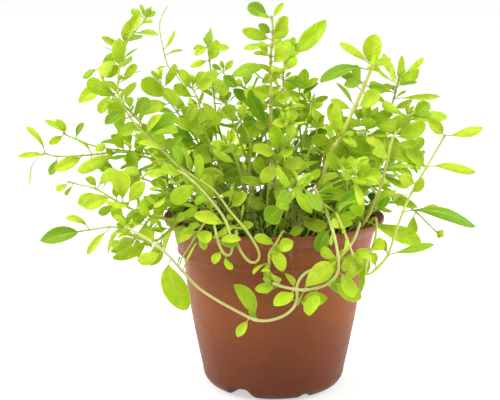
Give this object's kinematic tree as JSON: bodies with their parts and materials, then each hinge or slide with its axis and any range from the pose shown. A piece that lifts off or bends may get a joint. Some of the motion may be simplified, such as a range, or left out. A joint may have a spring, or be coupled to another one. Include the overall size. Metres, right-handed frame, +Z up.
{
  "type": "potted marjoram",
  "caption": "Bushy marjoram plant with square stems and small oval leaves, some trailing over the lip of its round brown nursery pot.",
  "frame": {"origin": "centre of the pot's base, on the surface that the pot stands on", "axes": "+Z up the pot's axis; -Y towards the side where the long runner hangs across the front of the pot; +X to the right of that side"},
  "size_m": [0.2445, 0.1749, 0.2096],
  "materials": {
    "pot_plastic": "satin moulded plastic, terracotta brown",
    "potting_mix": "dark moist peat and bark crumbs",
    "foliage": "soft matt leaf, bright yellow green, on green to reddish brown stems"
  },
  "bodies": {
    "root": {"arching_shoot": "foliage", "front_leafy_shoot": "foliage", "front_loop_shoot": "foliage", "front_right_shoot": "foliage", "front_sprig": "foliage", "hanging_shoot_1": "foliage", "hanging_shoot_2": "foliage", "hanging_shoot_3": "foliage", "hanging_shoot_4": "foliage", "hanging_shoot_5": "foliage", "hanging_shoot_6": "foliage", "hanging_shoot_7": "foliage", "inner_shoot_1": "foliage", "inner_shoot_2": "foliage", "inner_shoot_3": "foliage", "inner_shoot_4": "foliage", "inner_shoot_5": "foliage", "inner_shoot_6": "foliage", "left_high_shoot": "foliage", "left_leafy_shoot": "foliage", "left_shoot_1": "foliage", "left_shoot_2": "foliage", "left_shoot_3": "foliage", "left_shoot_4": "foliage", "middle_shoot_1": "foliage", "middle_shoot_2": "foliage", "middle_shoot_3": "foliage", "middle_shoot_4": "foliage", "middle_shoot_5": "foliage", "middle_shoot_6": "foliage", "middle_shoot_7": "foliage", "middle_shoot_8": "foliage", "middle_shoot_9": "foliage", "outer_shoot_1": "foliage", "outer_shoot_10": "foliage", "outer_shoot_11": "foliage", "outer_shoot_2": "foliage", "outer_shoot_3": "foliage", "outer_shoot_4": "foliage", "outer_shoot_5": "foliage", "outer_shoot_6": "foliage", "outer_shoot_7": "foliage", "outer_shoot_8": "foliage", "outer_shoot_9": "foliage", "pot": "pot_plastic", "potting_mix": "potting_mix", "right_leafy_shoot": "foliage", "right_shoot_1": "foliage", "right_shoot_2": "foliage", "right_shoot_3": "foliage", "runner": "foliage", "tall_back_shoot": "foliage", "tall_centre_shoot": "foliage", "tall_left_shoot": "foliage", "thick_right_shoot": "foliage", "upright_shoot_1": "foliage", "upright_shoot_2": "foliage", "upright_shoot_3": "foliage", "upright_shoot_4": "foliage", "wispy_shoot": "foliage"}
  },
  "joints": []
}
